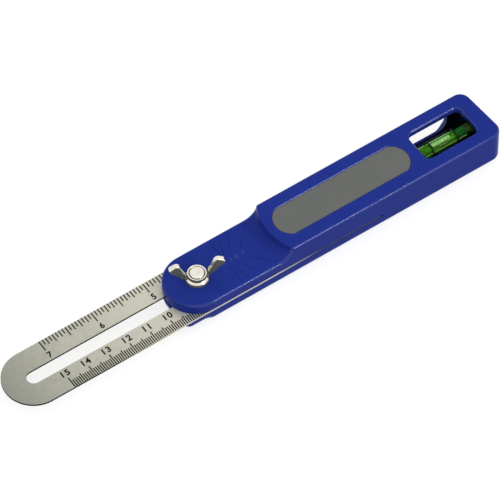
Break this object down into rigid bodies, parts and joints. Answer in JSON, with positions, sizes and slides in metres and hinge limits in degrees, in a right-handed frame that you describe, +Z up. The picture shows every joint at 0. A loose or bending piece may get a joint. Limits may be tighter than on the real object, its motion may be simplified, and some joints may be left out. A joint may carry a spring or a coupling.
{
  "type": "sliding bevel gauge",
  "caption": "Sliding bevel gauge: a slotted steel blade that turns and slides in a forked plastic handle, clamped by a wing nut, with a level vial in the handle.",
  "frame": {"origin": "where the pivot axis meets the rest plane, the flat underside of the grip", "axes": "+X from the pivot along the grip, with the blade out along -X at rest; +Z up along the pivot bolt, out of the wing nut's side; Y across the handle"},
  "size_m": [0.2374, 0.0272, 0.0247],
  "materials": {
    "handle_plastic": "semi-gloss moulded blue",
    "inlay_plastic": "matt grey",
    "blade_steel": "brushed along the blade",
    "bolt_chrome": "bright plated",
    "vial_clear": "clear",
    "vial_fluid": "clear green",
    "vial_black": "matt"
  },
  "bodies": {
    "handle": {"handle_body": "handle_plastic", "grip_inlay": "inlay_plastic", "washer": "bolt_chrome", "vial_tube": "vial_clear", "vial_plug": "vial_clear", "vial_liquid": "vial_fluid", "vial_line_left": "vial_black", "vial_line_right": "vial_black"},
    "bolt": {"pivot_bolt": "bolt_chrome"},
    "blade": {"blade": "blade_steel"},
    "wing_nut": {"wing_nut": "bolt_chrome"}
  },
  "joints": [
    {"name": "blade_turn", "type": "hinge", "parent": "handle", "child": "bolt", "pos_m": [0, 0, 0.00725], "axis": [0, 0, 1], "range_deg": [0, 160]},
    {"name": "blade_slide", "type": "slide", "parent": "bolt", "child": "blade", "axis": [-1, 0, 0], "range_m": [0, 0.057]},
    {"name": "wing_nut_turn", "type": "hinge", "parent": "bolt", "child": "wing_nut", "pos_m": [0, 0, 0.0155], "axis": [0, 0, 1], "range_deg": [0, 300]}
  ]
}
